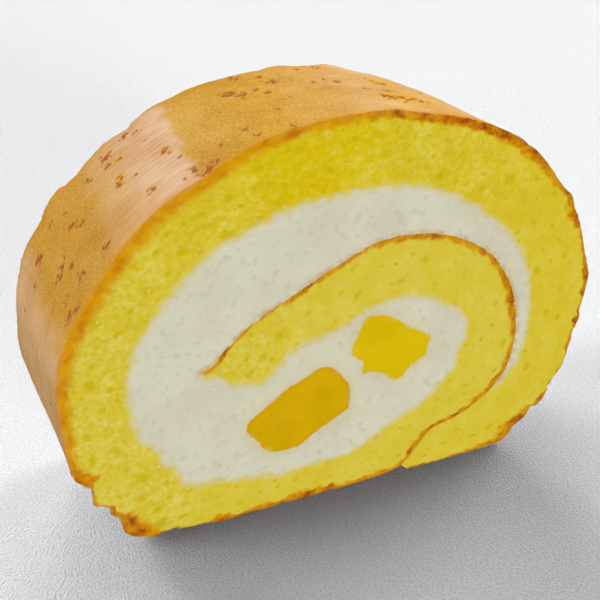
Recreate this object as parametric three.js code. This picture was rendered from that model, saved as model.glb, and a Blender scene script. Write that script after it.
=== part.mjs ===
// A slice of swiss roll: one sheet of yellow sponge, browned on its outside, rolled round
// whipped cream that holds two pieces of fruit. Millimetres, +Z up. The slice stands on the
// flattened underside of the roll, with a cut face at the front (-Y) and at the back (+Y),
// and the origin is the middle of that underside.
import * as THREE from "three";
import { ImprovedNoise } from "three/addons/math/ImprovedNoise.js";

// Driving sizes
const rollWidth = 92;
const sliceDepth = 29.4;
const axisHeight = 29.5; // the roll's axis above the table
const crownReach = 35; // axis to the top of the roll
const baseReach = 31; // axis to the underside, before the table flattens it
const crownSquareness = 1.95; // powers of the outline's two halves: 2 is an ellipse
const baseSquareness = 3;
const clearance = 0.3; // between neighbouring pieces
const seamClearance = 0.4; // where the sheet's outer end lies on its first turn
const coreTurn = THREE.MathUtils.degToRad(6); // how far the core has turned at the back cut
const coreShift = { x: -1.2, z: 0.8 }; // and how far it has moved there
const dentDepth = 0.45; // unevenness of the browned skin
const dentSize = 13;

// Facets
const coilSteps = 3; // between two ribs of the inner turn
const outerStep = 3; // degrees between the ribs of the outer turn
const tailSteps = 9;
const acrossSteps = 3;
const depthSteps = 5;
const fruitSides = 26;

// Swells and dips of the outline. Angles are degrees clockwise from straight down as seen
// from the front: 90 is the left side, 180 the crown and 270 the right side.
const swells = [
  { middle: 52.5, spread: 8.5, rise: 2.5 }, // lip of the left heel
  { middle: 68, spread: 5, rise: -1 }, // notch above it
  { middle: 113, spread: 26, rise: -1.7 }, // flattened left shoulder
  { middle: 140, spread: 21, rise: -1 },
  { middle: 215, spread: 40, rise: 0.9 }, // full right shoulder
  { middle: 288, spread: 26, rise: -1.1 }, // right side drawn in
  { middle: 312, spread: 5, rise: 1.3 }, // right heel
];

// Thickness of the outer turn of the sheet: [angle, thickness]
const outerThickness = [
  [4, 6.6], [24, 6.6], [42, 9.4], [55, 11.3], [84, 10.5], [125, 11], [165, 11.8],
  [195, 11.9], [235, 12.8], [262, 12], [284, 10.3], [292, 10], [298, 10.4],
];

// The inner turn, from the end of the sheet in the cream to the underside of the roll, as
// ribs across the sheet: [skin x, skin z, cream side x, cream side z]
const coilRibs = [
  [-24.2, 28.3, -23.3, 27.1], [-21.2, 30, -20.3, 25.3], [-15.5, 34.9, -14.2, 24.1],
  [-9.5, 37.8, -9.5, 28.3], [-3, 40.9, -3, 30], [5, 44, 5, 33], [13, 44, 12.5, 33.3],
  [20.5, 41.6, 18, 30.6], [27, 36.9, 21.6, 27.4], [30.9, 30, 22, 24.5],
  [32.2, 22.5, 20.9, 21.3], [31.2, 16.3, 20, 18.1], [28, 12, 17.6, 15.8],
  [22, 8.5, 13.6, 12.6], [16.5, 7, 9.6, 11], [13.6, 4, 6.6, 9.5], [10.8, 1.2, 4, 8],
  [6, 0.3, 1.5, 7.1],
];

// The outer end of the sheet thins out between the table and the inner turn.
const tailAngles = { from: 302, to: 337.5 };
const tailCoilRibs = { from: 12, to: 16 }; // the ribs of the inner turn that it lies on

// Where the turns meet, which is where the cream runs out between them
const meetingAngle = 295;
const meetingCoilRib = 11.4;

// Outlines of the fruit at the front cut: [x, z]
const leftFruit = [
  [-17.4, 16.8], [-14, 19.5], [-9.5, 22.2], [-4.2, 24.6], [-0.8, 22], [1, 19.2],
  [0.8, 15], [-4, 12.7], [-9.5, 10.1], [-14.6, 11.6],
];
const rightFruit = [
  [0.7, 26.2], [2.2, 29.6], [4.4, 31.7], [9.5, 29.2], [15.1, 25.2], [14.4, 21.8],
  [9.1, 18.8], [5.2, 21], [2.4, 21.6], [2.7, 23.4],
];

const noise = new ImprovedNoise();
const depthAxis = new THREE.Vector3(0, 1, 0);

// A point of the cross-section, as a vector with no depth yet
function sectionPoint(x, z) {
  return new THREE.Vector3(x, 0, z);
}

function curveThrough(corners, closed = false) {
  return new THREE.CatmullRomCurve3(corners.map(([x, z]) => sectionPoint(x, z)), closed);
}

// The direction to the left of travel along a curve, which is outwards when it runs clockwise
function outwardAt(curve, part) {
  const along = curve.getTangent(part);
  return sectionPoint(-along.z, along.x);
}

// The outline's distance from the axis, with the underside pressed flat on the table
function rimRadius(angle) {
  const sine = Math.sin(THREE.MathUtils.degToRad(angle));
  const cosine = Math.cos(THREE.MathUtils.degToRad(angle));
  const power = cosine > 0 ? baseSquareness : crownSquareness;
  const reach = cosine > 0 ? baseReach : crownReach;
  const across = (Math.abs(sine) / (rollWidth / 2)) ** power;
  const upright = (Math.abs(cosine) / reach) ** power;
  let radius = (across + upright) ** (-1 / power);
  for (const { middle, spread, rise } of swells) {
    const offset = Math.min(1, Math.abs(angle - middle) / spread);
    radius += (rise * (1 + Math.cos(Math.PI * offset))) / 2;
  }
  return cosine > 0 ? Math.min(radius, axisHeight / cosine) : radius;
}

function polarPoint(angle, radius) {
  const turn = THREE.MathUtils.degToRad(angle);
  return sectionPoint(-radius * Math.sin(turn), axisHeight - radius * Math.cos(turn));
}

function thicknessAt(angle) {
  const next = Math.max(1, outerThickness.findIndex(([stop]) => stop >= angle));
  const [fromAngle, from] = outerThickness[next - 1];
  const [toAngle, to] = outerThickness[next];
  const part = THREE.MathUtils.smoothstep(angle, fromAngle, toAngle);
  return THREE.MathUtils.lerp(from, to, part);
}

// The whole sheet as ribs in order: the inner turn, the outer turn and the thin tail. Each
// rib joins a point of the skin to a point of the side that the cream lies on.
function makeSheet() {
  const ribs = [];
  const lastCoilRib = coilRibs.length - 1;
  const coilSkin = curveThrough(coilRibs);
  const coilInner = curveThrough(coilRibs.map(([, , x, z]) => [x, z]));
  for (let i = 0; i <= lastCoilRib * coilSteps; i += 1) {
    const part = i / (lastCoilRib * coilSteps);
    ribs.push({ skin: coilSkin.getPoint(part), inner: coilInner.getPoint(part) });
  }
  for (let angle = outerThickness[0][0]; angle <= outerThickness.at(-1)[0]; angle += outerStep) {
    const radius = rimRadius(angle);
    const innerRadius = radius - thicknessAt(angle);
    ribs.push({ skin: polarPoint(angle, radius), inner: polarPoint(angle, innerRadius) });
  }
  for (let i = 0; i <= tailSteps; i += 1) {
    const angle = THREE.MathUtils.lerp(tailAngles.from, tailAngles.to, i / tailSteps);
    const coilRib = THREE.MathUtils.lerp(tailCoilRibs.from, tailCoilRibs.to, i / tailSteps);
    const part = coilRib / lastCoilRib;
    const gap = outwardAt(coilSkin, part).multiplyScalar(seamClearance);
    ribs.push({
      skin: polarPoint(angle, rimRadius(angle)),
      inner: coilSkin.getPoint(part).add(gap),
    });
  }
  return ribs;
}

// Moves a point at its depth: the core turns and shifts towards the back cut, and the skin
// has shallow dents. Both leave the underside flat.
function settle(point) {
  const fromAxis = sectionPoint(point.x, point.z - axisHeight);
  const angle = THREE.MathUtils.radToDeg(Math.atan2(-fromAxis.x, -fromAxis.z));
  const reach = fromAxis.length() / rimRadius((angle + 360) % 360);
  const towardsBack = THREE.MathUtils.smoothstep(point.y, -sliceDepth / 2, sliceDepth / 2);
  const core = Math.max(0, 1 - reach ** 2) * towardsBack;
  fromAxis.applyAxisAngle(depthAxis, coreTurn * core);
  const unevenness = noise.noise(point.x / dentSize, point.y / dentSize, point.z / dentSize);
  const aboveTable = THREE.MathUtils.smoothstep(point.z, 1, 9);
  fromAxis.setLength(fromAxis.length() + dentDepth * unevenness * aboveTable * reach ** 6);
  point.x = fromAxis.x + coreShift.x * core;
  point.z = axisHeight + fromAxis.z + coreShift.z * core;
}

function settleGeometry(geometry) {
  const places = geometry.attributes.position;
  const point = new THREE.Vector3();
  for (let i = 0; i < places.count; i += 1) {
    point.fromBufferAttribute(places, i);
    settle(point);
    places.setXYZ(i, point.x, point.y, point.z);
  }
  geometry.computeVertexNormals();
  return geometry;
}

// The sponge is a flat bar bent along the sheet's ribs: its length follows the sheet, its
// height runs from the skin to the cream side and its breadth is the depth of the slice.
function makeSponge(sheet) {
  const alongSteps = sheet.length - 1;
  const bar = new THREE.BoxGeometry(alongSteps, 1, 1, alongSteps, acrossSteps, depthSteps);
  bar.translate(alongSteps / 2, 0.5, 0);
  const places = bar.attributes.position;
  for (let i = 0; i < places.count; i += 1) {
    const { skin, inner } = sheet[Math.round(places.getX(i))];
    const point = skin.clone().lerp(inner, places.getY(i));
    places.setXYZ(i, point.x, places.getZ(i) * sliceDepth, Math.max(0, point.z));
  }
  return settleGeometry(bar);
}

// Extrudes an outline of the cross-section through the whole depth of the slice. Outlines
// run clockwise as seen from the front, and holes are turned the other way here.
function extrudeSection(outline, holes = []) {
  const flat = (points) => points.map((point) => new THREE.Vector2(point.x, point.z));
  const shape = new THREE.Shape(flat(outline));
  shape.holes = holes.map((hole) => new THREE.Path(flat(hole).reverse()));
  const geometry = new THREE.ExtrudeGeometry(shape, {
    depth: sliceDepth,
    steps: depthSteps,
    bevelEnabled: false,
  });
  geometry.rotateX(Math.PI / 2);
  geometry.translate(0, sliceDepth / 2, 0);
  return settleGeometry(geometry);
}

// A smooth closed outline through the fruit's corners, grown outwards by a margin
function fruitOutline(corners, margin = 0) {
  const edge = curveThrough(corners, true);
  return Array.from({ length: fruitSides }, (_, i) => {
    const part = i / fruitSides;
    return edge.getPoint(part).addScaledVector(outwardAt(edge, part), margin);
  });
}

// The cream fills the space between the turns. Its outline follows the sheet's cream side
// from the end inside the roll round to where the turns meet, and comes back along the skin
// of the inner turn and round the end of the sheet.
function makeCream(sheet) {
  const lastInner = (coilRibs.length - 1) * coilSteps + 1
    + Math.round((meetingAngle - outerThickness[0][0]) / outerStep);
  const lastSkin = Math.round(meetingCoilRib * coilSteps);
  const across = ({ skin, inner }) => inner.clone().sub(skin).setLength(clearance);
  const innerSide = sheet.slice(0, lastInner + 1).map((rib) => rib.inner.clone().add(across(rib)));
  const skinSide = sheet.slice(0, lastSkin + 1).map((rib) => rib.skin.clone().sub(across(rib)));
  const pastEnd = sheet[0].skin.clone().sub(sheet[1].skin).setLength(clearance);
  const outline = [
    innerSide[0].clone().add(pastEnd),
    ...innerSide,
    ...skinSide.reverse(),
    skinSide.at(-1).clone().add(pastEnd),
  ];
  const holes = [leftFruit, rightFruit].map((corners) => fruitOutline(corners, clearance));
  return extrudeSection(outline, holes);
}

function addPiece(group, name, geometry, color, roughness) {
  const material = new THREE.MeshStandardMaterial({ color, roughness, metalness: 0 });
  const mesh = new THREE.Mesh(geometry, material);
  mesh.name = name;
  group.add(mesh);
}

const sheet = makeSheet();
const group = new THREE.Group();
addPiece(group, "sponge", makeSponge(sheet), 0xd8c44a, 0.85);
addPiece(group, "cream", makeCream(sheet), 0xd2cdb3, 0.55);
addPiece(group, "fruit_left", extrudeSection(fruitOutline(leftFruit)), 0xd0a80a, 0.3);
addPiece(group, "fruit_right", extrudeSection(fruitOutline(rightFruit)), 0xd8b90e, 0.3);

export default group;
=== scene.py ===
import random
from bisect import bisect_right
from math import atan2, cos, degrees, exp, hypot, pi, radians, sin, sqrt

import bmesh
import bpy
from mathutils import Matrix, Vector, noise
from mathutils.bvhtree import BVHTree
from mathutils.geometry import interpolate_bezier
from mathutils.kdtree import KDTree


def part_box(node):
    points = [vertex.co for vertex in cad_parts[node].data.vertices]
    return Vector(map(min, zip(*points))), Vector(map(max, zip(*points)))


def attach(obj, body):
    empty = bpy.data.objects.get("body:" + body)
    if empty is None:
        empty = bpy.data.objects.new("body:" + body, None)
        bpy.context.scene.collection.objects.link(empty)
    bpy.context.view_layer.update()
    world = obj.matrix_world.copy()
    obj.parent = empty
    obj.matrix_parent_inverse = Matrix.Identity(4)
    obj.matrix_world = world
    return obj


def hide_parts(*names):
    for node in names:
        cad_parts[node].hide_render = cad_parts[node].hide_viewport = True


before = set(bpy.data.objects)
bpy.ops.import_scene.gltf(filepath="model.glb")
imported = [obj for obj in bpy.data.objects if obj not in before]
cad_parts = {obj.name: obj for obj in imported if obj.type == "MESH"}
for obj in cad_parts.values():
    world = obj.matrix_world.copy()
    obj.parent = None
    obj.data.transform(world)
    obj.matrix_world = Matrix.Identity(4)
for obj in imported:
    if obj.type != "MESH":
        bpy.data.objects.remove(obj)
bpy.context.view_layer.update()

mm = 0.001  # everything below is worked out in millimetres and brought to metres at the end


# small tools

def lerp(a, b, share):
    return a + (b - a) * share


def smoothStep(low, high, value):
    share = min(1, max(0, (value - low) / (high - low)))
    return share * share * (3 - 2 * share)


def alongStops(stops, value):  # eases between (place, value) stops
    if value <= stops[0][0]:
        return stops[0][1]
    for (fromPlace, fromValue), (toPlace, toValue) in zip(stops, stops[1:]):
        if value <= toPlace:
            return lerp(fromValue, toValue, smoothStep(fromPlace, toPlace, value))
    return stops[-1][1]


def treeOf(points):  # finds the nearest of the points
    tree = KDTree(len(points))
    for i, point in enumerate(points):
        tree.insert(point, i)
    tree.balance()
    return tree


def linear(hexColour):  # sRGB hex to linear
    parts = [int(hexColour[i:i + 2], 16) / 255 for i in (1, 3, 5)]
    return [c / 12.92 if c <= 0.04045 else ((c + 0.055) / 1.055) ** 2.4 for c in parts] + [1]


def addNode(tree, kind, inputs=None, stops=None, out=None, **settings):  # a node, or its socket "out"
    node = tree.nodes.new("ShaderNode" + kind)
    for name, value in settings.items():
        setattr(node, name, value)
    for socket, value in (inputs or {}).items():
        if isinstance(value, bpy.types.NodeSocket):
            tree.links.new(value, node.inputs[socket])
        else:
            node.inputs[socket].default_value = value
    for place, colour in stops or []:
        element = node.color_ramp.elements.new(place)
        element.color = linear(colour)
    if stops:  # the ramp's own two ends go once ours are in
        node.color_ramp.elements.remove(node.color_ramp.elements[0])
        node.color_ramp.elements.remove(node.color_ramp.elements[-1])
    return node if out is None else node.outputs[out]


def newMaterial(name):
    material = bpy.data.materials.new(name)
    material.use_nodes = True
    material.node_tree.nodes.clear()
    return material, material.node_tree


def extrudeSheet(bm, vec):  # a flat sheet becomes a slab
    geom = bmesh.ops.extrude_face_region(bm, geom=bm.faces[:], use_keep_orig=True)["geom"]
    moved = [item for item in geom if isinstance(item, bmesh.types.BMVert)]
    bmesh.ops.translate(bm, vec=vec, verts=moved)


def sharpenCuts(bm):  # a slab looks outwards, with square edges where the knife went through
    bmesh.ops.recalc_face_normals(bm, faces=bm.faces)
    for edge in bm.edges:
        edge.smooth = edge.calc_face_angle(0) < 1  # radian


def finishPiece(bm, name, material, node):  # from a bmesh in millimetres to a piece in its place
    bmesh.ops.scale(bm, vec=(mm, mm, mm), verts=bm.verts)
    for face in bm.faces:
        face.smooth = True
    mesh = bpy.data.meshes.new(name)
    bm.to_mesh(mesh)
    bm.free()
    mesh.materials.append(material)
    piece = bpy.data.objects.new(name, mesh)
    bpy.context.scene.collection.objects.link(piece)
    lit["cake"].objects.link(piece)
    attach(piece, "root")
    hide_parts(node)
    piece.visible_diffuse = False  # the paper's shadow stays grey


# the camera, at the height and side from which the cut face shows

view = {
    "place": (-68.3, -144.8, 107.9),  # mm
    "turn": -24.77,  # degrees round the cake from straight in front
    "tilt": 26.37,  # degrees down
    "lens": 63.85,
}

cameraData = bpy.data.cameras.new("camera")
cameraData.lens = view["lens"]
cameraData.sensor_width = 36
camera = bpy.data.objects.new("camera", cameraData)
camera.location = Vector(view["place"]) * mm
camera.rotation_euler = (radians(90 - view["tilt"]), 0, radians(view["turn"]))
bpy.context.scene.collection.objects.link(camera)
bpy.context.scene.camera = camera
bpy.context.scene.view_settings.view_transform = "Standard"


# floor and light

studio = {
    "tints": [(0.38, "#e9ecf1"), (0.6, "#fdfeff")],  # of the paper, darker in its pits as painted shade of its pressed grain
    "paperGrain": 0.38,  # mm
    "floorReach": 4,  # metres to each side
    "world": 0.035,
    # round from the right and up from the floor in degrees, strength, softness in degrees, and
    # what it lights: low light from behind would bleach the back cut
    "suns": {
        "right": (20, 15, 2.5, 35, ("floor", "cake")),
        "left": (165, 34, 1.15, 32, ("floor", "cake")),
        "front": (270, 6, 2.4, 15, ("floor", "cake")),
        "lowBackRight": (75, 15, 2.6, 22, ("floor",)),
        "lowBack": (105, 15, 3.6, 30, ("floor",)),
        "highRight": (30, 42, 1.01, 22, ("cake",)),
        "highLeft": (150, 42, 1.4, 30, ("cake",)),
    },
}
lit = {name: bpy.data.collections.new("lit " + name) for name in ("floor", "cake")}


def addSun(name, turn, height, strength, softness, part):
    data = bpy.data.lights.new(name, "SUN")
    data.energy = strength
    data.angle = radians(softness)
    data.cycles.use_multiple_importance_sampling = False  # keeps its light out of the cake's shadow
    turn, height = radians(turn), radians(height)
    towards = Vector((cos(height) * cos(turn), cos(height) * sin(turn), sin(height)))
    sun = bpy.data.objects.new(name, data)
    sun.rotation_euler = towards.to_track_quat("Z", "Y").to_euler()
    bpy.context.scene.collection.objects.link(sun)
    sun.light_linking.receiver_collection = lit[part]


for name, (turn, height, strength, softness, parts) in studio["suns"].items():
    for part in parts:  # one sun for each, as the floor is too dark if only some suns are linked
        addSun(name + " on " + part, turn, height, strength, softness, part)

world = bpy.data.worlds.new("studio")
world.use_nodes = True
world.node_tree.nodes["Background"].inputs["Color"].default_value = linear("#ffd3b3")
world.node_tree.nodes["Background"].inputs["Strength"].default_value = studio["world"]
bpy.context.scene.world = world


def makeFloor():
    # Uncoated paper board: matt white with a pressed grain that shows where light grazes it.
    material, tree = newMaterial("pressed paper board")
    place = addNode(tree, "TexCoord", out="Object")
    grain = addNode(tree, "TexNoise", {
        "Vector": place, "Scale": 1 / (studio["paperGrain"] * mm), "Detail": 2}, out="Fac")
    normal = addNode(tree, "Bump", {"Height": grain, "Strength": 1, "Distance": 0.34 * mm}, out="Normal")
    # the grain's pits painted darker: painted shade, so the grain shows in shadow too
    tint = addNode(tree, "ValToRGB", {"Fac": grain}, studio["tints"], out="Color")
    surface = addNode(tree, "BsdfPrincipled", {
        "Base Color": tint, "Roughness": 0.95, "Specular IOR Level": 0, "Normal": normal}, out="BSDF")
    addNode(tree, "OutputMaterial", {"Surface": surface})
    bm = bmesh.new()
    bmesh.ops.create_grid(bm, x_segments=1, y_segments=1, size=studio["floorReach"])
    mesh = bpy.data.meshes.new("floor")
    bm.to_mesh(mesh)
    bm.free()
    mesh.materials.append(material)
    floor = bpy.data.objects.new("floor", mesh)
    bpy.context.scene.collection.objects.link(floor)
    lit["floor"].objects.link(floor)
    floor.visible_diffuse = floor.visible_shadow = False  # the cut face is lit evenly to its foot


makeFloor()
print("camera, floor and light are in")


# the roll: the shape of its section, shared by the sponge, the cream and the fruit. Angles
# are degrees clockwise from straight down, as seen from the front.

spongeLow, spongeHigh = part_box("sponge")
roll = {
    "width": 92,
    "depth": (spongeHigh.y - spongeLow.y) / mm,
    "axisHeight": 29.5,
    "crownReach": 35,
    "baseReach": 31,
    "crownPower": 1.95,
    "basePower": 3,
    "seam": -0.12,  # the outer end presses a little into the inner turn
    "coreTurn": 6,
    "coreShift": (-1.2, 0.8),
    # angle, spread, rise
    "swells": [(52.5, 8.5, 2.5), (68, 5, -1), (113, 26, -1.7), (140, 21, -1), (215, 40, 0.9),
               (288, 26, -1.1), (312, 5, 1.3)],
    # angle, thickness of the sheet
    "thickness": [(4, 6.6), (24, 6.6), (42, 9.4), (55, 11.3), (84, 10.5), (125, 11),
                  (165, 11.8), (195, 11.9), (235, 12.8), (262, 12), (284, 10.3), (292, 10),
                  (298, 10.4)],
    # skin x and z, cream side x and z, from the end inside the cream to the underside
    "coilRibs": [
        (-24.2, 28.3, -23.7, 27.3), (-22.2, 29.2, -21.8, 26.6), (-20.6, 31, -19.6, 25.2),
        (-15.5, 34.9, -14.2, 24.1), (-9.5, 37.8, -9.5, 28.3), (-3, 40.9, -3, 30),
        (5, 44, 5, 33), (13, 44, 12.5, 33.3), (20.5, 41.6, 18, 30.6), (27, 36.9, 21.6, 27.4),
        (30.9, 30, 22, 24.5), (32.2, 22.5, 20.9, 21.3), (31.2, 16.3, 20, 18.1),
        (28, 12, 17.6, 15.8), (22, 8.5, 13.6, 12.6), (16.5, 7, 9.6, 11), (13.6, 4, 6.6, 9.5),
        (10.8, 1.2, 4, 8), (6, 0.3, 1.5, 7.1)],
    "tailAngles": (302, 337.5),
    "tailCoilRibs": (13, 17),
    "coilSteps": 14,  # between two ribs of the inner turn
    "outerStep": 0.75,  # degrees
    "tailSteps": 40,
}


def rimRadius(angle):
    sine, cosine = sin(radians(angle)), cos(radians(angle))
    power = roll["basePower"] if cosine > 0 else roll["crownPower"]
    reach = roll["baseReach"] if cosine > 0 else roll["crownReach"]
    across = (abs(sine) / (roll["width"] / 2)) ** power
    upright = (abs(cosine) / reach) ** power
    radius = (across + upright) ** (-1 / power)
    for middle, spread, rise in roll["swells"]:
        offset = min(1, abs(angle - middle) / spread)
        radius += rise * (1 + cos(pi * offset)) / 2
    return min(radius, roll["axisHeight"] / cosine) if cosine > 0 else radius


def polarPoint(angle, radius):
    turn = radians(angle)
    return Vector((-radius * sin(turn), 0, roll["axisHeight"] - radius * cos(turn)))


def angleOf(point):
    return degrees(atan2(-point.x, roll["axisHeight"] - point.z)) % 360


def smoothLine(points, steps, closed=False):  # a curve through points, evenly eased at each
    count = len(points)
    line = []
    for i in range(count if closed else count - 1):
        before, start, end, after = [
            points[k % count] if closed else points[min(count - 1, max(0, k))]
            for k in (i - 1, i, i + 1, i + 2)]
        middle = sqrt((end - start).length) or 1
        first = sqrt((start - before).length) or middle
        last = sqrt((after - end).length) or middle
        leave = (start - before) / first - (end - before) / (first + middle) + (end - start) / middle
        arrive = (end - start) / middle - (after - start) / (middle + last) + (after - end) / last
        handles = start + leave * middle / 3, end - arrive * middle / 3
        line += interpolate_bezier(start, *handles, end, steps + 1)[:-1]
    return line if closed else line + [points[-1].copy()]


def makeRibs():  # (skin point, cream side point, angle or None on the inner turn)
    coil = roll["coilRibs"]
    coilSkin = smoothLine([Vector((x, 0, z)) for x, z, _, _ in coil], roll["coilSteps"])
    coilInner = smoothLine([Vector((x, 0, z)) for _, _, x, z in coil], roll["coilSteps"])
    ribs = [(skin, inner, None) for skin, inner in zip(coilSkin, coilInner)]
    angle = roll["thickness"][0][0]
    while angle <= roll["thickness"][-1][0]:
        radius = rimRadius(angle)
        inner = polarPoint(angle, radius - alongStops(roll["thickness"], angle))
        ribs.append((polarPoint(angle, radius), inner, angle))
        angle += roll["outerStep"]
    for i in range(roll["tailSteps"] + 1):
        share = i / roll["tailSteps"]
        angle = lerp(*roll["tailAngles"], share)
        place = round(lerp(*roll["tailCoilRibs"], share) * roll["coilSteps"])
        along = (coilSkin[place + 1] - coilSkin[place - 1]).normalized()
        outward = Vector((-along.z, 0, along.x))
        ribs.append((polarPoint(angle, rimRadius(angle)), coilSkin[place] + outward * roll["seam"], angle))
    return ribs


ribs = makeRibs()
ribPlaces = [0]  # distance along the middle of the sheet
for (skinA, innerA, _), (skinB, innerB, _) in zip(ribs, ribs[1:]):
    ribPlaces.append(ribPlaces[-1] + (skinB + innerB - skinA - innerA).length / 2)
sheetLength = ribPlaces[-1]
coilLength = ribPlaces[(len(roll["coilRibs"]) - 1) * roll["coilSteps"]]


def sheetAt(along):  # the rib at a distance along the sheet: skin, cream side, angle
    i = min(len(ribs) - 2, max(0, bisect_right(ribPlaces, along) - 1))
    share = (along - ribPlaces[i]) / (ribPlaces[i + 1] - ribPlaces[i])
    skin = ribs[i][0].lerp(ribs[i + 1][0], share)
    inner = ribs[i][1].lerp(ribs[i + 1][1], share)
    return skin, inner, ribs[i][2]


def meetsCream(angle):  # not where the outer end lies on the inner turn
    return angle is None or angle < roll["tailAngles"][0] - 1


def driftCore(point):  # the core turns and shifts a little towards the back cut
    fromAxis = Vector((point.x, 0, point.z - roll["axisHeight"]))
    reach = fromAxis.length / rimRadius(angleOf(point))
    half = roll["depth"] / 2
    core = max(0, 1 - reach * reach) * smoothStep(-half, half, point.y)
    turn = radians(roll["coreTurn"]) * core
    x = fromAxis.x * cos(turn) + fromAxis.z * sin(turn)
    z = fromAxis.z * cos(turn) - fromAxis.x * sin(turn)
    shiftX, shiftZ = roll["coreShift"]
    point.x = x + shiftX * core
    point.z = z + roll["axisHeight"] + shiftZ * core


print("sheet of", round(sheetLength), "mm with", len(ribs), "ribs")


# the sponge: the sheet as a flat slab, rolled up and given its crumb and its browned skin

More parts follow.
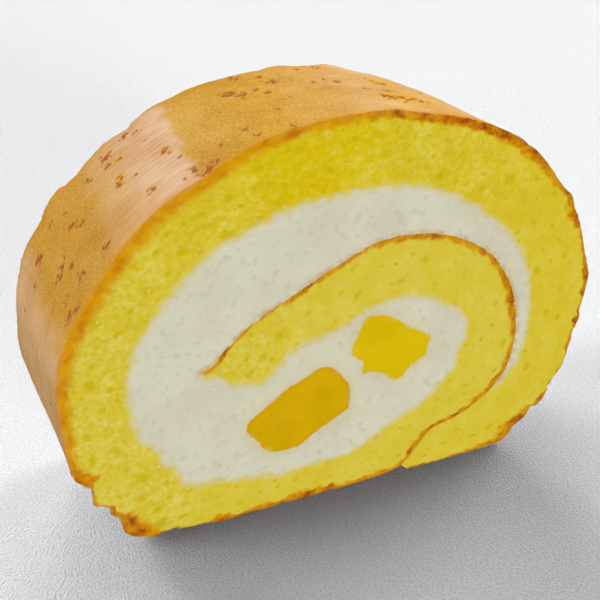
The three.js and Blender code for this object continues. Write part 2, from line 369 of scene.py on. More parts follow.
sponge = {
    "alongCell": 0.38,
    "acrossCells": 28,
    "depthCells": 54,
    "fineSkinFrom": 0.93,  # of the inner turn's length
    "fade": 2.5,  # mm over which the skin's relief dies away into the sheet
    "dents": {"size": 13, "depth": 0.3},
    "grain": {"size": 1.1, "depth": 0.06},
    "crumb": {"size": 1.2, "depth": 0.08, "poreDepth": 0.12},
    "edgeRound": 0.1,
    "flap": {"angle": 50.5, "spread": 7, "width": 2.3, "proud": 0.45},
    # small steps of the two cut edges: angle, rise
    "frontSteps": [
        (0, -0.62), (1.5, -0.69), (7.5, 0.02), (18, 0), (21, -0.24), (24, 0.09), (28.5, -0.16),
        (36, 0.16), (39, -0.33), (43.5, 0.41), (45, 0.45), (46.5, -0.24), (49.5, 0.37), (51, 0.05),
        (52.5, 0.09), (55.5, 0.69), (58.5, 0.19), (60, 0.46), (61.5, -0.24), (64.5, 1.11),
        (67.5, 0.24), (70.5, 0.68), (73.5, 0.04), (75, 0.19), (80, 0), (190, 0), (199.5, -0.61),
        (229.5, 0.38), (243, 0.07), (247.5, 0.52), (252, 0.26), (255, -0.2), (261, -0.34),
        (270, 0.75), (273, 0.71), (276, 0.29), (279, 0.75), (280.5, 0.51), (282, -0.05),
        (285, 0.5), (291, 0.81), (294, 0.27), (295.5, 0.46), (297, 1.02), (298.5, 0.96),
        (301.5, 0.03), (304.5, 0.79), (309, 0.51), (316.5, 1.36), (321, 0.49), (328.5, 0.53),
        (336, 0.2), (337.5, 0.34)],
    "backSteps": [
        (45, 0), (65, 0.45), (70, -0.69), (72.5, -0.74), (80, 0.09), (82.5, 0.2), (90, -0.4),
        (95, -0.3), (105, 0.6), (110, 0.45), (112.5, 1), (115, 1.14), (117.5, 0.93), (120, 0.09),
        (122.5, -0.2), (132.5, 0.23), (137.5, -0.2), (140, 0.4), (145, 0.8), (152.5, 0.28),
        (165, -0.14), (175, -0.08), (180, 0.22), (190, -0.19), (195, 0.05), (205, -0.81),
        (217.5, -0.68), (225, -1.19), (232.5, -0.78), (240, 0.29), (250, 0.21), (262, -0.4),
        (283, 0.5), (305, -0.3), (330, 0)],
    "stepReach": {"frontSteps": 2.5, "backSteps": 7},
    "teeth": {"size": 2.4, "height": 0.45},  # ragged little teeth on both cut edges
    # angle, how ragged the skin's edge is there
    "ragged": [(40, 0.3), (48, 1), (72, 1), (85, 0.25), (140, 0.15), (215, 0.15), (232, 0.7),
               (300, 0.8), (315, 0.5)],
    # angle, how deep the browning reaches into the cut
    "crust": [(0, 1), (12, 1.2), (17, 1.8), (22, 0.9), (28, 1.4), (31, 1.2), (34, 0.6), (36, 1.6),
              (38.5, 1.6), (39.5, 0.2), (47.9, 0.3), (48.8, 1.1), (50.5, 2.1), (53, 3), (55.5, 3),
              (57, 2.4), (58.5, 1.3), (61, 1), (62.5, 0.6), (64, 0.3), (65.2, 0.6), (66, 0.6),
              (66.8, 0.1), (68.3, 0.1), (68.9, 2.4), (71, 2.2), (73, 1.6), (84, 1.9), (100, 2.6),
              (130, 2.6), (150, 2.1), (175, 1.5), (192, 1.3), (203, 1.7), (222, 1.6), (236, 1.5),
              (243, 1.4), (247, 1), (253, 1.7), (255.5, 1.4), (257, 0.3), (258.5, 0.3), (260, 0.6),
              (267, 1), (272, 0.9), (275, 0.3), (277.5, 0.6), (279, 1), (280.5, 0.4), (283.5, 0.8),
              (289, 0.25), (296, 0.3), (300, 1.4), (308, 2.2), (316, 1.2), (324, 0.7), (333, 0.5),
              (337, 0.5)],
    # angle, how dark it is there
    "toast": [(0, 0.8), (34, 0.7), (36.5, 0.85), (38.5, 0.8), (39.5, 0.3), (48.2, 0.5), (49, 0.8),
              (56, 0.75), (57.5, 0.3), (62.5, 0.25), (64.5, 0.5), (65.8, 0.9), (66.6, 0.2),
              (68.5, 0.3), (69, 0.9), (71.2, 0.8), (73, 0.2), (90, 0.12), (150, 0.08),
              (180, 0.3), (194, 0.6), (205, 0.9), (230, 0.85), (243, 0.5), (250, 0.65), (253, 0.85),
              (255.5, 0.8), (257, 0.15), (260, 0.4), (267, 0.75), (272, 0.65), (275, 0.2),
              (278, 0.8), (280, 0.8), (281.5, 0.3), (284, 0.4), (290, 0.2), (300, 0.45),
              (308, 0.65), (320, 0.5), (337, 0.5)],
    # the same two along the inner turn, from its tip at 0 to its end at 1
    "coilCrust": [(0, 0.9), (0.03, 0.9), (0.06, 0.6), (0.12, 0.6), (0.18, 0.9), (0.24, 0.8),
                  (0.33, 0.9), (0.42, 1.2), (0.5, 1), (0.57, 1.2), (0.62, 1.5), (0.66, 1.1),
                  (0.72, 1), (0.78, 1.3), (0.84, 1.1), (1, 1.1)],
    "coilToast": [(0, 0.4), (0.05, 0.8), (0.07, 0.25), (0.15, 0.25), (0.19, 0.7), (0.23, 0.3),
                  (0.35, 0.4), (0.38, 0.65), (0.42, 0.4), (0.5, 0.45), (0.57, 0.6), (0.61, 0.95),
                  (0.64, 0.7), (0.67, 0.4), (0.76, 0.55), (0.85, 0.5), (1, 0.5)],
    # angle, how pale and rosy the skin is: partly its own tone, partly painted light, as the painted sheen
    # at 126 to 145 and the painted lighter lower left at 66 to 97
    "paleAndSheen": [(40, 0.2), (66, 0.55), (97, 0.55), (104, 0), (118, 0.05),
             (126, 0.4), (134, 0.8), (142, 0.95), (145.4, 0.05), (165, 0), (180, 0.15),
             (192, 0.4), (205, 0.35), (225, 0.3)],
    "paleAndSheenSlant": 0.2,  # degrees for each mm from front to back
    "paleAndSheenWobble": {"size": 5, "angle": 2},
    # angle, how much darker the skin is: partly deeper baking, partly painted shade
    "bake": [(55, 0.3), (68, 0), (97, 0), (105, 0.22), (118, 0.12), (126, 0), (215, 0), (235, 0.05),
             (250, 0.3), (270, 0.4)],
    # angle, how deep a yellow the crumb is
    "deepYellow": [(0, 0.1), (60, 0), (100, 0.05), (132, 0.45), (160, 0.95), (178, 0.95), (200, 0.5),
                   (235, 0.5), (262, 0.3), (290, 0.2), (337, 0.15)],
    # bubbles cut open, in mm: the coarse ones grow with the coarseness of the crumb
    "pores": {
        "coarse": {"count": 1300, "size": (0.28, 0.66), "strength": (0.6, 1)},
        "fine": {"count": 3600, "size": (0.14, 0.28), "strength": (0.15, 0.5)},
        "spread": 0.35, "largest": 1.05, "stretch": (0.8, 1.6), "gap": 0.5, "reach": 3.5,
        "across": (0.12, 0.97),  # of the sheet's thickness
        "kept": (0.35, 1),  # the share in fine and in coarse crumb
    },
    "burst": {"depth": 0.12, "reach": 4.5},
    # burst bubbles in the skin: angle, depth from the middle, size, how yellow it is inside
    "scars": [
        (130.7, 10.2, 1.6, 0), (129.4, 7.5, 1, 0), (132.3, 6.7, 1.1, 0.6), (124, 9, 1.1, 0),
        (128.1, -0.8, 0.9, 0.2), (129.2, 0.7, 1, 1), (132.4, -1.9, 0.6, 0), (116, 7.8, 0.9, 0),
        (115.2, 3.7, 1.3, 0.2), (116.8, 1.4, 1.2, 0.3), (118.2, -10.1, 1.3, 0),
        (105.2, 7.9, 1.4, 0), (108.6, -0.8, 1.5, 0), (106.6, -2.1, 1.3, 0),
        (109.7, -4, 1.2, 0), (110.7, -8.5, 1.5, 0), (100.9, 4.9, 1, 0), (105.8, -8.9, 1.3, 0),
        (103.5, -11.7, 1.4, 0), (106.2, -12.8, 1.2, 0), (111.6, 10.7, 1.2, 0.3),
        (136.5, 12.5, 1.2, 0), (138.7, 11.4, 1.1, 0), (139.1, 6.1, 0.6, 0),
        (140.5, -0.2, 0.9, 0.6), (141.4, -4.7, 0.9, 0), (141.8, -10.8, 1.2, 0),
        (142.1, -13.6, 1.4, 0), (145.7, -12.8, 1.4, 0), (157.8, -11.9, 0.9, 0),
        (157.1, -8.7, 1.2, 0), (165.8, -13.4, 1.2, 0), (161.8, 6.4, 1.9, 0),
        (164.8, 3.9, 1.7, 0), (168.7, 4.8, 1.3, 0), (169.8, 2.1, 1.3, 0.4),
        (174.9, 7.2, 1.8, 0), (167.7, 13, 1.6, 0), (173.7, 10.3, 1.2, 0), (173.4, -2.2, 0.7, 0),
        (150.3, -9, 0.6, 0), (184, 3.2, 1, 0), (187.9, 4.2, 0.9, 0), (190.2, 2.6, 1.2, 0),
        (191.5, 12.3, 1.4, 0.5), (202.7, 2.7, 2.2, 1), (200.7, 5.3, 1, 0), (193.5, -2.4, 1, 0),
        (196.3, -7.7, 2, 0.8), (199.6, -8.4, 2.2, 0.9), (203, -9.1, 2, 0.7), (198.4, -4, 1, 0)],
    # small ones anywhere, most of them on the side that faces away
    "moreScars": {"count": 60, "angles": ((60, 300), (210, 300)), "depth": (-14, 14),
                  "size": (0.4, 1.1), "inside": (0, 0, 0.4)},
}


def crumbCoarseness(point):  # 0 fine, 1 coarse
    left = smoothStep(-18, -36, point.x)
    top = 0.6 * smoothStep(38, 50, point.z) * smoothStep(60, 15, point.x)
    tip = 0.7 * smoothStep(-4, -12, point.x) * smoothStep(22, 25, point.z)
    return max(0.15, left, top, tip)


def scatterPores(seed):  # bubbles cut open, in distances along the sheet and from the skin
    draw = random.Random(seed)
    rule = sponge["pores"]
    pores = []
    for kind in ("coarse", "fine"):
        for _ in range(rule[kind]["count"]):
            along = draw.uniform(0, sheetLength)
            skin, inner, _ = sheetAt(along)
            across = draw.uniform(*rule["across"])
            coarse = crumbCoarseness(skin.lerp(inner, across))
            fromSkin = across * (inner - skin).length
            if kind == "coarse":
                size = lerp(*rule[kind]["size"], coarse) * exp(draw.gauss(0, rule["spread"]))
            else:
                size = draw.uniform(*rule[kind]["size"])
            stretch = draw.uniform(*rule["stretch"])
            strength = draw.uniform(*rule[kind]["strength"])
            keep = draw.random() < lerp(*rule["kept"], coarse)
            crowded = kind == "coarse" and any(
                hypot(along - other[0], fromSkin - other[1]) < 1.6 * (size + other[2]) + rule["gap"]
                for other in pores)
            if keep and not crowded:
                pores.append((along, fromSkin, min(size, rule["largest"]), stretch, strength))
    return pores, treeOf([(along, fromSkin, 0) for along, fromSkin, _, _, _ in pores])


def poreAt(pores, tree, along, fromSkin):  # how deep a point lies in a pore
    deep = 0
    for place, i, _ in tree.find_range((along, fromSkin, 0), sponge["pores"]["reach"]):
        _, _, size, stretch, strength = pores[i]
        wobble = 1 + 0.8 * noise.noise(Vector((along * 1.4, fromSkin * 1.4, i)))
        away = hypot((along - place.x) / stretch, fromSkin - place.y) / (size * wobble)
        deep = max(deep, strength * smoothStep(1.45, 0.45, away))
    return deep


def scatterScars():
    draw = random.Random(11)
    more = sponge["moreScars"]
    scars = list(sponge["scars"])
    for _ in range(more["count"]):
        angle = draw.choice([draw.uniform(*span) for span in more["angles"]])
        scars.append((angle, draw.uniform(*more["depth"]), draw.uniform(*more["size"]),
                      draw.choice(more["inside"])))
    return scars, treeOf([skinPlace(angle, depth) for angle, depth, _, _ in scars])


def skinPlace(angle, depth):
    point = polarPoint(angle, rimRadius(angle))
    return Vector((point.x, depth, point.z))


def scarAt(scars, tree, point):  # burst and yellow, 0 to 1, at a point of the skin
    burst, yellow = 0, 0
    around = Vector((roll["axisHeight"] - point.z, 0, point.x)).normalized()  # along the sheet
    for place, i, _ in tree.find_range(point, sponge["burst"]["reach"]):
        _, _, size, inside = scars[i]
        offset = Vector(((point - place).dot(around), point.y - place.y))
        offset.rotate(Matrix.Rotation(0.6 * sin(i * 2.4), 2))
        long, wide = offset.x / (size * 0.85), offset.y / (size * 1.05)
        wobble = 1.1 * noise.noise(point * 1.6 + Vector((i, 0, 0)))
        away = hypot(long, wide) + wobble
        burst = max(burst, smoothStep(1.15, 0.15, away))
        yellow = max(yellow, inside * smoothStep(1.5, 0.7, away))
    return burst, yellow


def ribValues(share):  # what is the same all the way across and through the sheet
    along = share * sheetLength
    skin, inner, angle = sheetAt(along)
    values = {"along": along, "skin": skin, "inner": inner, "angle": angle,
              "thickness": (inner - skin).length, "outward": (skin - inner).normalized()}
    if angle is None:
        values.update(crust=alongStops(sponge["coilCrust"], along / coilLength),
                      toast=alongStops(sponge["coilToast"], along / coilLength),
                      bake=0, ragged=0, frontSteps=0, backSteps=0, flap=0, deepYellow=0)
    else:
        flap = sponge["flap"]
        values["flap"] = flap["proud"] * smoothStep(flap["spread"], 0, abs(angle - flap["angle"]))
        for name in ("crust", "toast", "bake", "ragged", "frontSteps", "backSteps", "deepYellow"):
            values[name] = alongStops(sponge[name], angle)
    values["creamSide"] = meetsCream(angle)
    return values


spongeLayers = ("fromSkin", "crust", "toast", "paleAndSheen", "bake", "deepYellow", "coarse", "poreShade", "burst",
                "yellow", "onSkin", "nearCut", "toCream")


def makeSponge(material):
    bm = bmesh.new()
    alongCells = round(sheetLength / sponge["alongCell"])
    bmesh.ops.create_grid(bm, x_segments=alongCells, y_segments=sponge["acrossCells"], size=0.5)
    bmesh.ops.translate(bm, vec=(0.5, 0.5, 0), verts=bm.verts)
    extrudeSheet(bm, (0, 0, 1))
    fineFrom = coilLength / sheetLength * sponge["fineSkinFrom"]
    skinEdges = [edge for edge in bm.edges
                 if abs(edge.verts[0].co.z - edge.verts[1].co.z) > 0.5
                 and edge.verts[0].co.y < 0.001 and edge.verts[0].co.x > fineFrom]
    bmesh.ops.subdivide_edges(bm, edges=skinEdges, cuts=sponge["depthCells"] - 1, use_grid_fill=True)
    sharpenCuts(bm)
    print("  sponge slab with", len(bm.faces), "faces")

    layers = {name: bm.verts.layers.float.new(name) for name in spongeLayers}
    sheetLayer = bm.verts.layers.float_vector.new("sheet")
    frontPores, backPores = scatterPores(3), scatterPores(4)
    scars = scatterScars()
    half = roll["depth"] / 2
    dents, grain, crumb, teeth = sponge["dents"], sponge["grain"], sponge["crumb"], sponge["teeth"]
    reach, paleAndSheenWobble = sponge["stepReach"], sponge["paleAndSheenWobble"]
    known = {}
    for vert in bm.verts:
        column = round(vert.co.x * alongCells)
        if column not in known:
            known[column] = ribValues(vert.co.x)
        rib = known[column]
        across, depthShare = vert.co.y, vert.co.z
        along, angle = rib["along"], rib["angle"]
        fromSkin = across * rib["thickness"]
        point = rib["skin"].lerp(rib["inner"], across)
        point.y = (depthShare * 2 - 1) * half
        cutDistance = half - abs(point.y)
        onCut = cutDistance < 0.01
        deep, burst, yellow, paleAndSheen = 0, 0, 0, 0

        # relief of the skin, fading into the sheet
        if angle is not None:
            above = smoothStep(0.5, 6, point.z)
            place = point.copy()
            # how pale the skin is, partly its own tone and partly painted sheen and light
            wobble = paleAndSheenWobble["angle"] * noise.fractal(place / paleAndSheenWobble["size"], 0.8, 2, 3)
            paleAndSheen = alongStops(sponge["paleAndSheen"], angle - sponge["paleAndSheenSlant"] * point.y + wobble)
            push = above * dents["depth"] * noise.noise(place / dents["size"])
            push += above * grain["depth"] * noise.noise(place / grain["size"])
            push += rib["ragged"] * teeth["height"] * exp(-cutDistance / 2) * noise.noise(
                Vector((along / teeth["size"], depthShare * 3, 7)))
            push += rib["frontSteps"] * exp(-(half + point.y) / reach["frontSteps"])
            push += rib["backSteps"] * exp(-(half - point.y) / reach["backSteps"])
            if fromSkin < 1.5 and point.z > 0.5:
                burst, yellow = scarAt(*scars, point)
                push -= sponge["burst"]["depth"] * burst
            push -= sponge["edgeRound"] * exp(-cutDistance / 0.5)
            point += rib["outward"] * push * exp(-fromSkin / sponge["fade"])

        driftCore(point)
        toCream = rib["thickness"] - fromSkin if rib["creamSide"] else 9  # far from any
        if onCut:
            pores, tree = frontPores if depthShare < 0.5 else backPores
            deep = poreAt(pores, tree, along, fromSkin)
            place = Vector((along * 0.7, fromSkin, depthShare * 9)) / crumb["size"]
            rough = crumb["depth"] * (0.4 + 1.4 * crumbCoarseness(point)) * noise.fractal(place, 0.7, 2, 3)
            inset = crumb["poreDepth"] * deep + rough
            inset *= smoothStep(0.2, 1.4, rib["thickness"] - fromSkin)  # level with what touches it
            if angle is not None:
                inset += sponge["edgeRound"] * exp(-fromSkin / 0.7)
            if depthShare < 0.5:
                inset -= rib["flap"] * smoothStep(0.3, -0.3, fromSkin - sponge["flap"]["width"])
            point.y -= inset if point.y > 0 else -inset
        point.z = max(0, point.z)
        vert.co = point
        vert[sheetLayer] = Vector((along, fromSkin, depthShare * roll["depth"])) * mm
        values = {"fromSkin": fromSkin, "crust": rib["crust"], "toast": rib["toast"],
                  "paleAndSheen": paleAndSheen, "bake": rib["bake"], "deepYellow": rib["deepYellow"],
                  "coarse": crumbCoarseness(point),
                  "poreShade": deep, "burst": burst, "yellow": yellow,
                  "onSkin": 0 if onCut or across > 0 else 1, "nearCut": 0.6 * exp(-cutDistance / 0.8),
                  "toCream": toCream}
        for name, value in values.items():
            vert[layers[name]] = value
    finishPiece(bm, "sponge_sheet", material, "sponge")


def spongeMaterial():
    # Baked sponge: an open, matt yellow crumb under a thin browned skin with a fine grain.
    material, tree = newMaterial("baked yellow sponge")
    place = addNode(tree, "TexCoord", out="Object")
    sheet = addNode(tree, "Attribute", out="Vector", attribute_name="sheet")
    read = {name: addNode(tree, "Attribute", out="Fac", attribute_name=name) for name in spongeLayers}
    stretched = addNode(tree, "Mapping", {"Vector": sheet, "Scale": (0.15, 1, 1)}, out="Vector")
    # name, where it runs, size in mm, detail
    clouds = {name: addNode(tree, "TexNoise", {
        "Vector": where, "Scale": 1 / (size * mm), "Detail": detail}, out="Fac")
        for name, where, size, detail in (
            ("mottle", place, 4, 3), ("foam", place, 0.8, 3), ("smear", place, 1.6, 1),
            ("torn", sheet, 1.6, 3), ("patch", sheet, 2.2, 2), ("fleck", place, 0.5, 2),
            ("cloud", place, 9, 3), ("grain", place, 0.35, 3), ("scar", place, 0.8, 3),
            ("glint", place, 1.1, 1), ("wrinkle", stretched, 0.6, 2))}

    # crumb: mottled over 4 mm, with a foam of 0.8 mm that shows most where it is coarse, and
    # painted highlights in pale flecks of 1 mm where it is coarse
    foamShare = addNode(tree, "MapRange", {0: read["coarse"], 3: 0.35, 4: 0.7}, out=0)
    tone = addNode(tree, "Mix", {0: foamShare, 2: clouds["mottle"], 3: clouds["foam"]}, out=0)
    even = addNode(tree, "MapRange", {0: read["coarse"], 1: 0.15, 2: 0.6, 3: 0.5, 4: 0}, out=0)
    tone = addNode(tree, "Mix", {0: even, 2: tone, 3: 0.5}, out=0)
    crumb = addNode(tree, "ValToRGB", {"Fac": tone}, [
        (0.32, "#e2ca2c"), (0.5, "#ebd744"), (0.68, "#f3e570")], out="Color")
    rich = addNode(tree, "ValToRGB", {"Fac": tone}, [
        (0.32, "#e2c404"), (0.5, "#ebd012"), (0.68, "#f3df3c")], out="Color")
    crumb = addNode(tree, "Mix", {0: read["deepYellow"], 6: crumb, 7: rich}, data_type="RGBA", out=2)
    # a deeper, darker yellow in the pores and the foam's dark spots: partly the crumb's own colour, partly
    # painted shade inside the cut bubbles
    poreShade = addNode(tree, "MapRange", {0: clouds["foam"], 1: 0.3, 2: 0.7, 3: -0.3, 4: 0.3}, out=0)
    poreShade = addNode(tree, "Math", {0: poreShade, 1: read["poreShade"]}, out=0)
    poreShade = addNode(tree, "MapRange", {0: poreShade, 1: 0.3, 2: 0.75, 4: 0.8}, out=0)
    crumb = addNode(tree, "Mix", {0: poreShade, 6: crumb, 7: linear("#dec200")}, data_type="RGBA", out=2)
    # painted highlights: pale flecks on the coarse crumb
    glints = addNode(tree, "MapRange", {0: clouds["glint"], 1: 0.64, 2: 0.8, 4: read["coarse"]}, out=0)
    crumb = addNode(tree, "Mix", {0: glints, 6: crumb, 7: linear("#f2e47c")}, data_type="RGBA", out=2)

    # cream smeared over the crumb's edge, over 2 mm
    smear = addNode(tree, "MapRange", {0: clouds["smear"], 1: 0.3, 2: 0.7, 3: -0.4, 4: 0.4}, out=0)
    away = addNode(tree, "Math", {0: read["toCream"], 1: smear}, out=0)
    creamShare = addNode(tree, "MapRange", {0: away, 1: 1, 2: -1}, interpolation_type="SMOOTHSTEP", out=0)
    crumb = addNode(tree, "Mix", {0: creamShare, 6: crumb, 7: linear("#e6e1c6")}, data_type="RGBA", out=2)

    # the outer skin: clouds of 9 mm over a grain of 0.35 mm, which is drawn out into wrinkles
    # along the sheet where the skin is pale and where its sheen is painted, and more orange at the cuts
    fine = addNode(tree, "Mix", {0: read["paleAndSheen"], 2: clouds["grain"], 3: clouds["wrinkle"]}, out=0)
    tone = addNode(tree, "Mix", {0: 0.62, 2: clouds["cloud"], 3: fine}, out=0)
    skin = addNode(tree, "ValToRGB", {"Fac": tone}, [
        (0.36, "#ca902e"), (0.5, "#dba642"), (0.64, "#e7bb5c")], out="Color")
    # pale, rosy skin, which also paints the sheen of light on the upper left
    rosySheen = addNode(tree, "ValToRGB", {"Fac": tone}, [
        (0.36, "#deab80"), (0.5, "#eac09a"), (0.64, "#f2d2b4")], out="Color")
    skin = addNode(tree, "Mix", {0: read["paleAndSheen"], 6: skin, 7: rosySheen}, data_type="RGBA", out=2)
    # darker skin: partly deeper baking, partly painted shade
    skin = addNode(tree, "Mix", {0: read["bake"], 6: skin, 7: linear("#c07c20")}, data_type="RGBA", out=2)
    skin = addNode(tree, "Mix", {0: read["nearCut"], 6: skin, 7: linear("#e09818")}, data_type="RGBA", out=2)

    # browning: how far the crust reaches in, with a torn edge and in patches of 2.2 mm
    torn = addNode(tree, "MapRange", {0: clouds["torn"], 1: 0.3, 2: 0.7, 3: -0.5, 4: 0.5}, out=0)
    torn = addNode(tree, "Math", {0: torn, 1: read["fromSkin"]}, out=0)
    inward = addNode(tree, "Math", {0: torn, 1: read["crust"]}, operation="DIVIDE", out=0)
    soft = addNode(tree, "MapRange", {0: read["toast"], 2: 0.7, 3: 0.2, 4: 0.75}, out=0)
    goldShare = addNode(tree, "MapRange", {
        0: inward, 1: 1.3, 2: soft}, interpolation_type="SMOOTHSTEP", out=0)
    gold = addNode(tree, "ValToRGB", {"Fac": clouds["patch"]}, [
        (0.35, "#efb010"), (0.65, "#e39206")], out="Color")
    crumb = addNode(tree, "Mix", {0: goldShare, 6: crumb, 7: gold}, data_type="RGBA", out=2)
    rind = addNode(tree, "MapRange", {0: torn, 1: 0.5, 2: 0, 4: 0.5}, out=0)
    crumb = addNode(tree, "Mix", {0: rind, 6: crumb, 7: skin}, data_type="RGBA", out=2)
    brownShare = addNode(tree, "MapRange", {
        0: inward, 1: 1.1, 2: 0.4}, interpolation_type="SMOOTHSTEP", out=0)
    brownShare = addNode(tree, "Math", {0: brownShare, 1: read["toast"]}, operation="MULTIPLY", out=0)
    patchy = addNode(tree, "MapRange", {0: clouds["patch"], 1: 0.38, 2: 0.6, 3: 0.4, 4: 1.3}, out=0)
    brownShare = addNode(tree, "Math", {
        0: brownShare, 1: patchy}, operation="MULTIPLY", use_clamp=True, out=0)
    brown = addNode(tree, "ValToRGB", {"Fac": clouds["fleck"]}, [
        (0.35, "#b07016"), (0.6, "#cc9426")], out="Color")
    darkBrown = addNode(tree, "ValToRGB", {"Fac": clouds["fleck"]}, [
        (0.35, "#ae540c"), (0.6, "#cc7a14")], out="Color")
    dark = addNode(tree, "MapRange", {0: read["toast"], 1: 0.6, 2: 0.8}, out=0)
    brown = addNode(tree, "Mix", {0: dark, 6: brown, 7: darkBrown}, data_type="RGBA", out=2)
    crumb = addNode(tree, "Mix", {0: brownShare, 6: crumb, 7: brown}, data_type="RGBA", out=2)
    singed = addNode(tree, "MapRange", {0: clouds["patch"], 1: 0.57, 2: 0.7}, out=0)
    singed = addNode(tree, "Math", {0: singed, 1: brownShare}, operation="MULTIPLY", out=0)
    crumb = addNode(tree, "Mix", {0: singed, 6: crumb, 7: linear("#9c441a")}, data_type="RGBA", out=2)

    # torn marks where bubbles burst in the skin
    skin = addNode(tree, "Mix", {0: read["yellow"], 6: skin, 7: linear("#ecb434")}, data_type="RGBA", out=2)
    ragged = addNode(tree, "MapRange", {0: clouds["scar"], 1: 0.3, 2: 0.68, 3: 0.2, 4: 1.7}, out=0)
    ragged = addNode(tree, "Math", {0: ragged, 1: read["burst"]}, operation="MULTIPLY", out=0)
    stain = addNode(tree, "MapRange", {0: ragged, 1: 0.26, 2: 0.65, 4: 0.6}, out=0)
    mark = addNode(tree, "MapRange", {0: ragged, 1: 0.52, 2: 0.92, 4: 0.8}, out=0)
    skin = addNode(tree, "Mix", {0: stain, 6: skin, 7: linear("#c8843c")}, data_type="RGBA", out=2)
    skin = addNode(tree, "Mix", {0: mark, 6: skin, 7: linear("#b05a38")}, data_type="RGBA", out=2)

    colour = addNode(tree, "Mix", {0: read["onSkin"], 6: crumb, 7: skin}, data_type="RGBA", out=2)
    relief = addNode(tree, "Mix", {0: read["onSkin"], 2: clouds["foam"], 3: fine}, out=0)
    height = addNode(tree, "MapRange", {0: read["coarse"], 3: 0.08 * mm, 4: 0.16 * mm}, out=0)
    height = addNode(tree, "Mix", {0: read["onSkin"], 2: height, 3: 0.14 * mm}, out=0)
    relief = addNode(tree, "Math", {0: relief, 1: height}, operation="MULTIPLY", out=0)
    normal = addNode(tree, "Bump", {"Height": relief, "Distance": 1}, out="Normal")
    surface = addNode(tree, "BsdfPrincipled", {
        "Base Color": colour, "Roughness": 0.9, "Normal": normal, "Specular IOR Level": 0}, out="BSDF")
    addNode(tree, "OutputMaterial", {"Surface": surface})
    return material


makeSponge(spongeMaterial())
print("sponge is in")


# what the knife went through inside the turns: slabs whose two cuts are evenly meshed

def grow(outline, distance):  # a closed outline moved outwards, or inwards if below zero
    area = sum(a.x * b.z - b.x * a.z for a, b in zip(outline, outline[1:] + outline[:1]))
    side = distance if area > 0 else -distance
    moved = []
    for before, point, after in zip(outline[-1:] + outline[:-1], outline, outline[1:] + outline[:1]):
        along = (after - before).normalized()
        moved.append(point + Vector((along.z, 0, -along.x)) * side)
    return moved


def fillOutlines(outlines):  # a flat sheet whose border is the outlines, the later ones holes
    bm = bmesh.new()
    for outline in outlines:
        verts = [bm.verts.new(point) for point in outline]
        for a, b in zip(verts, verts[1:] + verts[:1]):
            bm.edges.new((a, b))
    bmesh.ops.triangle_fill(bm, edges=bm.edges[:], use_beauty=True, use_dissolve=False, normal=(0, -1, 0))
    return bm


def makeSlab(outlines, cell):  # with each vertex's distance from the outline in "fromEdge"
    flat = fillOutlines(outlines)
    inside = BVHTree.FromBMesh(flat)
    flat.free()
    line = [a.lerp(b, i / 4) for outline in outlines
            for a, b in zip(outline, outline[1:] + outline[:1]) for i in range(4)]
    edge = treeOf(line)

    low = Vector([min(point[i] for point in line) for i in range(3)])
    size = Vector([max(point[i] for point in line) for i in range(3)]) - low
    bm = bmesh.new()
    bmesh.ops.create_grid(bm, x_segments=round(size.x / cell), y_segments=round(size.z / cell), size=0.5)
    bmesh.ops.rotate(bm, matrix=Matrix.Rotation(pi / 2, 3, "X"), verts=bm.verts)
    bmesh.ops.scale(bm, vec=(size.x, 1, size.z), verts=bm.verts)
    bmesh.ops.translate(bm, vec=low + size / 2, verts=bm.verts)
    outside = [vert for vert in bm.verts
               if inside.ray_cast(vert.co - Vector((0, 1, 0)), Vector((0, 1, 0)))[0] is None
               or edge.find(vert.co)[2] < 0.3 * cell]
    bmesh.ops.delete(bm, geom=outside, context="VERTS")
    loose = [vert for vert in bm.verts if not vert.link_faces]
    bmesh.ops.delete(bm, geom=loose, context="VERTS")
    border = {vert for e in bm.edges if e.is_boundary for vert in e.verts}
    for vert in border:
        vert.co = edge.find(vert.co)[0]
    fromEdge = bm.verts.layers.float.new("fromEdge")
    for vert in bm.verts:
        vert[fromEdge] = edge.find(vert.co)[2]
    extrudeSheet(bm, (0, roll["depth"], 0))
    bmesh.ops.translate(bm, vec=(0, -roll["depth"] / 2, 0), verts=bm.verts)
    sharpenCuts(bm)
    return bm, fromEdge


# the fruit: ripe pieces with soft edges

fruit = {
    "left": [(-17.4, 15.8), (-17, 17.6), (-15, 19), (-12.6, 20.5), (-10.2, 22.2), (-7.4, 23.2),
             (-5.8, 24.1), (-4.2, 24.5), (-2.1, 23.4), (-0.4, 21.5), (0.7, 19.5), (0.8, 17.3),
             (0.5, 15.6), (-1.5, 14.3), (-3.6, 13.3), (-6.1, 12), (-7.8, 10.9), (-10.3, 10.5),
             (-13.5, 11.2), (-15.3, 12.8), (-16.7, 14.5)],
    "right": [(0.7, 25.5), (0.7, 26.8), (1.3, 27.9), (2.1, 29.8), (2.6, 31), (3.9, 31.7),
              (6.2, 31.2), (9, 29.7), (11.7, 27.9), (14, 26.2), (15.3, 25.4), (15, 24.4),
              (14.6, 22.2), (12.5, 21), (11.2, 20), (10.2, 18.9), (8.6, 18.8), (6.8, 20.2),
              (4.7, 21.1), (2.7, 21.3), (2.6, 23.5)],
    "outlineSteps": 12,  # between two corners
    "ragged": {"size": 0.8, "depth": 0.2},
    "cell": 0.34,
    "overlap": 0.2,  # with the cream
    "waves": {"size": 4, "height": 0.1},
    "rim": {"drop": 0.06, "width": 0.3},
    "colours": {"left": ("#e0b200", "#e9bb00"), "right": ("#eac600", "#f0ce04")},
    "edgeDeepening": {"left": 0.7, "right": 0.1},
}


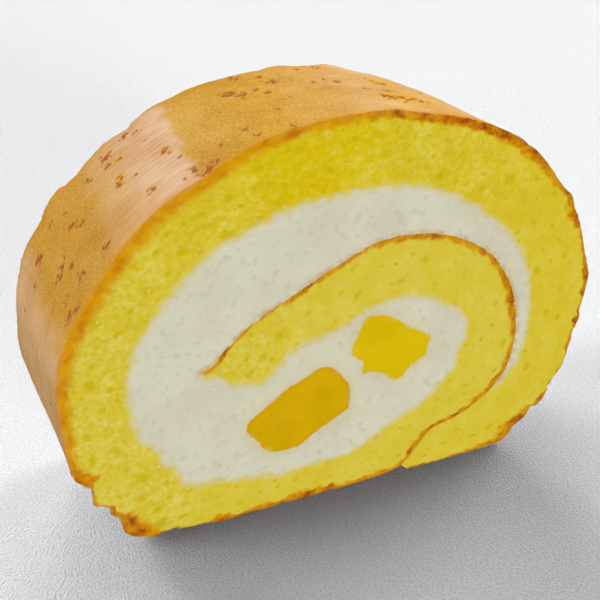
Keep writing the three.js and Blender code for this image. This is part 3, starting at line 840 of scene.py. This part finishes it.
def fruitMaterial(side):
    # Ripe soft fruit: smooth and moist, deeper at its edge, with cream wiped over its rim.
    material, tree = newMaterial("ripe fruit flesh " + side)
    place = addNode(tree, "TexCoord", out="Object")
    fromEdge = addNode(tree, "Attribute", out="Fac", attribute_name="fromEdge")
    flow = addNode(tree, "TexNoise", {"Vector": place, "Scale": 1 / (6 * mm), "Detail": 2}, out="Fac")
    smear = addNode(tree, "TexNoise", {"Vector": place, "Scale": 1 / (1.4 * mm), "Detail": 3}, out="Fac")
    deep, light = fruit["colours"][side]
    flesh = addNode(tree, "ValToRGB", {"Fac": flow}, [(0.35, deep), (0.65, light)], out="Color")
    # deeper orange towards the edge, in patches
    ripe = addNode(tree, "MapRange", {0: flow, 1: 0.42, 2: 0.62, 4: fruit["edgeDeepening"][side]}, out=0)
    edgeDeepening = addNode(tree, "MapRange", {0: fromEdge, 1: 1.4, 2: 0.2, 4: ripe}, out=0)
    flesh = addNode(tree, "Mix", {0: edgeDeepening, 6: flesh, 7: linear("#dc9c04")}, data_type="RGBA", out=2)
    reach = addNode(tree, "MapRange", {0: smear, 1: 0.45, 2: 0.7, 3: 0.1, 4: 1.3}, out=0)
    film = addNode(tree, "MapRange", {0: fromEdge, 1: reach, 2: 0, 4: 0.6}, out=0)
    flesh = addNode(tree, "Mix", {0: film, 6: flesh, 7: linear("#e6d080")}, data_type="RGBA", out=2)
    normal = addNode(tree, "Bump", {"Height": smear, "Strength": 0.15, "Distance": 0.2 * mm}, out="Normal")
    surface = addNode(tree, "BsdfPrincipled", {
        "Base Color": flesh, "Roughness": 0.4, "Normal": normal, "Specular IOR Level": 0.1}, out="BSDF")
    addNode(tree, "OutputMaterial", {"Surface": surface})
    return material


def fruitOutline(side, outwards):  # ragged, and moved outwards by that much
    line = smoothLine([Vector((x, 0, z)) for x, z in fruit[side]], fruit["outlineSteps"], closed=True)
    for point in line:
        place = point / fruit["ragged"]["size"]
        shift = Vector((noise.noise(place), 0, noise.noise(place + Vector((9, 9, 9)))))
        point += shift * fruit["ragged"]["depth"]
    return grow(line, outwards)


def makeFruit(side):
    bm, fromEdge = makeSlab([fruitOutline(side, fruit["overlap"])], fruit["cell"])
    waves, rim = fruit["waves"], fruit["rim"]
    for vert in bm.verts:
        point = vert.co.copy()
        proud = waves["height"] * noise.noise(point / waves["size"])
        proud -= rim["drop"] * exp(-(vert[fromEdge] / rim["width"]) ** 2)
        driftCore(point)
        point.y += proud if point.y > 0 else -proud
        vert.co = point
    finishPiece(bm, "fruit_piece_" + side, fruitMaterial(side), "fruit_" + side)


for side in ("left", "right"):
    makeFruit(side)
print("fruit is in")


# the cream: whipped, spread between the turns and wiped by the knife at both cuts

cream = {
    "cell": 0.38,
    "ribStep": 3,  # from one point of the outline to the next
    "overlap": 0.4,  # into the sponge's pores
    "coilOverlap": 0.2,  # over the browned skin of the inner turn
    "rim": {"proud": 0.04, "drop": 0.06, "width": 0.2},
    "waves": {"size": 6, "height": 0.1},
    "juice": {"reach": 0.9, "share": 0.45},  # round the fruit
    # where it runs in behind the closing turns, over that many ribs before and after they meet
    "wedge": {"reach": 0.5, "before": 10, "after": 6, "size": 3, "sunk": 0.03},
}


def sheetSide(last, near, far, overlap):  # a side of the sheet, drawn in towards its far side
    wedge = cream["wedge"]
    line = []
    for i, rib in enumerate(ribs[:last + wedge["after"]]):
        reach = overlap + wedge["reach"] * smoothStep(-wedge["before"], 0, i - last)
        line.append(rib[near] + (rib[far] - rib[near]).normalized() * reach)
    return line


def creamOutline():  # from the tip of the sheet round to the wedge where its turns meet
    meeting = next(i for i, rib in enumerate(ribs) if rib[2] == roll["tailAngles"][0])
    outer = sheetSide(meeting, 1, 0, cream["overlap"])
    inward = sheetSide(roll["tailCoilRibs"][0] * roll["coilSteps"], 0, 1, cream["coilOverlap"])
    return (outer + inward[::-1])[::cream["ribStep"]]


def creamMaterial():
    # Whipped cream: smooth and soft, satin rather than wet, with small pocks and smears.
    material, tree = newMaterial("whipped cream")
    place = addNode(tree, "TexCoord", out="Object")
    toCream = addNode(tree, "Attribute", out="Fac", attribute_name="toCream")
    nearFruit = addNode(tree, "Attribute", out="Fac", attribute_name="nearFruit")
    drift = addNode(tree, "TexNoise", {"Vector": place, "Scale": 1 / (6 * mm), "Detail": 4}, out="Fac")
    pocks = addNode(tree, "TexNoise", {"Vector": place, "Scale": 1 / (1.3 * mm), "Detail": 3}, out="Fac")
    smear = addNode(tree, "TexNoise", {"Vector": place, "Scale": 1 / (1.6 * mm), "Detail": 1}, out="Fac")
    colour = addNode(tree, "ValToRGB", {"Fac": drift}, [(0.35, "#e3e0c6"), (0.6, "#eae8ce")], out="Color")
    # small pocks painted darker: painted shade of little dents
    pockShade = addNode(tree, "MapRange", {0: pocks, 1: 0.56, 2: 0.72, 4: 0.5}, out=0)
    colour = addNode(tree, "Mix", {0: pockShade, 6: colour, 7: linear("#cfcbb0")}, data_type="RGBA", out=2)
    colour = addNode(tree, "Mix", {0: nearFruit, 6: colour, 7: linear("#e6cc80")}, data_type="RGBA", out=2)

    # crumb smeared into the cream's edge, as the sponge has cream on its own
    smear = addNode(tree, "MapRange", {0: smear, 1: 0.3, 2: 0.7, 3: -0.4, 4: 0.4}, out=0)
    away = addNode(tree, "Math", {0: toCream, 1: smear}, out=0)
    crumbShare = addNode(tree, "MapRange", {0: away, 1: -1, 2: 1}, interpolation_type="SMOOTHSTEP", out=0)
    colour = addNode(tree, "Mix", {0: crumbShare, 6: colour, 7: linear("#ebd22c")}, data_type="RGBA", out=2)

    # a little of the browned skin rubbed off on the cream beside the inner turn
    toSkin = addNode(tree, "Attribute", out="Fac", attribute_name="toSkin")
    rubbed = addNode(tree, "MapRange", {
        0: toSkin, 1: 1, 2: 0.1, 4: 0.7}, interpolation_type="SMOOTHSTEP", out=0)
    patches = addNode(tree, "MapRange", {0: pocks, 1: 0.36, 2: 0.58}, out=0)
    rubbed = addNode(tree, "Math", {0: rubbed, 1: patches}, operation="MULTIPLY", out=0)
    colour = addNode(tree, "Mix", {0: rubbed, 6: colour, 7: linear("#d8a440")}, data_type="RGBA", out=2)
    normal = addNode(tree, "Bump", {"Height": pocks, "Strength": 0.7, "Distance": 0.4 * mm}, out="Normal")
    surface = addNode(tree, "BsdfPrincipled", {
        "Base Color": colour, "Roughness": 0.6, "Normal": normal, "Specular IOR Level": 0.05}, out="BSDF")
    addNode(tree, "OutputMaterial", {"Surface": surface})
    return material


def makeCream():
    holes = [fruitOutline(side, -fruit["overlap"]) for side in ("left", "right")]
    bm, fromEdge = makeSlab([creamOutline()] + holes, cream["cell"])
    rim, waves, juice, wedge = cream["rim"], cream["waves"], cream["juice"], cream["wedge"]
    wedgeTip = ribs[roll["tailCoilRibs"][0] * roll["coilSteps"]][0]
    nearFruit = bm.verts.layers.float.new("nearFruit")
    toCream = bm.verts.layers.float.new("toCream")
    toSkin = bm.verts.layers.float.new("toSkin")
    rims = treeOf([point for hole in holes for point in hole])
    crumbEdge = treeOf([inner + (skin - inner).normalized() * cream["overlap"]
                        for skin, inner, angle in ribs if meetsCream(angle)])
    skinEdge = treeOf([skin for skin, _, angle in ribs if angle is None])
    for vert in bm.verts:
        point = vert.co.copy()
        proud = waves["height"] * noise.fractal(point / waves["size"], 0.9, 2, 3)
        proud = lerp(rim["proud"], proud, smoothStep(0, 2, vert[fromEdge]))
        proud -= rim["drop"] * exp(-(vert[fromEdge] / rim["width"]) ** 2)
        flat = Vector((point.x, 0, point.z))
        proud = lerp(-wedge["sunk"], proud, smoothStep(0.4, 1, (flat - wedgeTip).length / wedge["size"]))
        vert[nearFruit] = juice["share"] * exp(-rims.find(flat)[2] / juice["reach"])
        vert[toCream] = cream["overlap"] - crumbEdge.find(flat)[2]
        vert[toSkin] = skinEdge.find(flat)[2]
        driftCore(point)
        point.y += proud if point.y > 0 else -proud
        vert.co = point
    finishPiece(bm, "whipped_cream", creamMaterial(), "cream")


makeCream()
print("cream is in")
